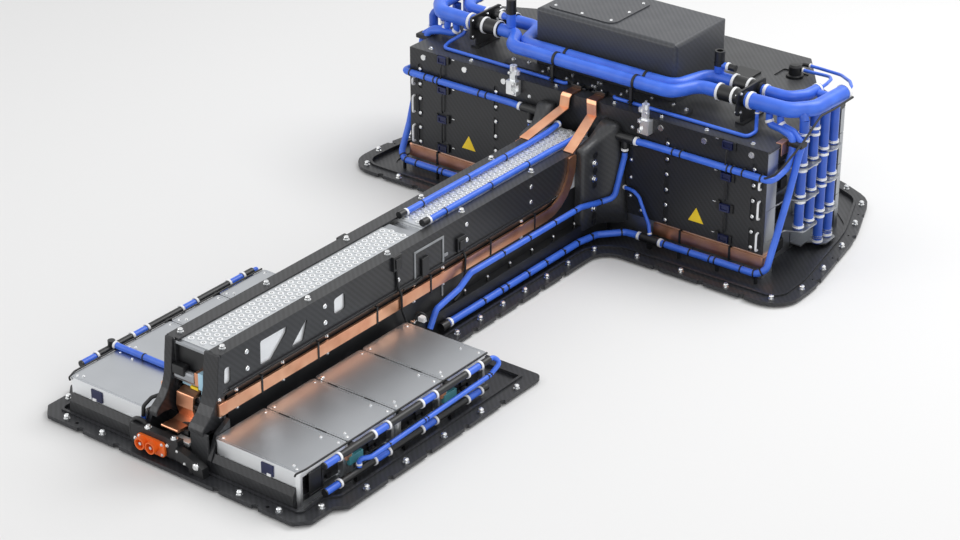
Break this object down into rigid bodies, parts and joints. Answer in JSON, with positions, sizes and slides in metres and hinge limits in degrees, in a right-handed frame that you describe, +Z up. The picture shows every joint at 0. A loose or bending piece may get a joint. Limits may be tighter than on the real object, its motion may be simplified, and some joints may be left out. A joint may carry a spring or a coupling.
{
  "type": "electric vehicle battery pack",
  "caption": "T-shaped traction battery pack on a carbon tray, with low front modules, a cell tunnel, a tall rear block, copper bars and blue coolant pipes.",
  "frame": {"origin": "on the floor, below the middle of the box round the whole pack", "axes": "+X across the pack, +Y along the tunnel from the low front modules to the tall rear block, +Z up"},
  "size_m": [1.462, 2.288, 0.549],
  "materials": {
    "carbon": "satin woven carbon fibre laminate",
    "steel": "bright zinc plated",
    "aluminium": "brushed satin",
    "casting": "fine cast",
    "black_plastic": "matte moulded",
    "blue_hose": "smooth satin",
    "copper": "bare copper, satin",
    "orange_plastic": "satin moulded",
    "pale_blue_plastic": "satin moulded",
    "navy_plastic": "matte moulded",
    "white_plastic": "satin moulded"
  },
  "bodies": {
    "root": {"base_tray": "carbon", "tray_bolts": "steel", "front_guard": "carbon", "tunnel_base": "black_plastic", "front_module_left_1": "aluminium", "front_module_left_2": "aluminium", "front_module_left_3": "aluminium", "front_module_left_4": "aluminium", "front_module_right_1": "aluminium", "front_module_right_2": "aluminium", "front_module_right_3": "aluminium", "front_module_right_4": "aluminium", "module_screws": "steel", "module_links": "black_plastic", "coolant_rails": "black_plastic", "rail_hoses": "blue_hose", "return_hoses": "blue_hose", "crossover_hoses": "blue_hose", "tunnel_panel_left": "carbon", "tunnel_panel_right": "carbon", "tunnel_bolts": "steel", "cell_block_front": "aluminium", "cell_block_rear": "aluminium", "tunnel_hoses": "blue_hose", "side_busbars": "copper", "top_straps": "copper", "front_busbar": "copper", "hv_connector": "orange_plastic", "hv_contacts": "steel", "hv_bracket": "black_plastic", "mouth_insulators": "pale_blue_plastic", "front_stack_1": "aluminium", "front_stack_2": "aluminium", "front_stack_3": "aluminium", "front_stack_4": "aluminium", "rear_stack_1": "aluminium", "rear_stack_2": "aluminium", "rear_stack_3": "aluminium", "rear_stack_4": "aluminium", "face_panel_left": "carbon", "face_panel_right": "carbon", "face_studs": "steel", "sensor_connectors": "navy_plastic", "latch_bars": "white_plastic", "block_busbars": "copper", "top_plate": "carbon", "electronics_cover": "carbon", "cover_lid": "carbon", "cover_screws": "steel", "control_unit": "casting", "main_pipes": "blue_hose", "wide_pipes": "blue_hose", "pipe_ports": "black_plastic", "pipe_bulkheads": "black_plastic", "pipe_sleeves": "black_plastic", "hose_clamps": "white_plastic", "manifold_columns": "blue_hose", "block_hoses": "blue_hose", "cowls": "carbon", "cast_brackets": "casting"}
  },
  "joints": []
}
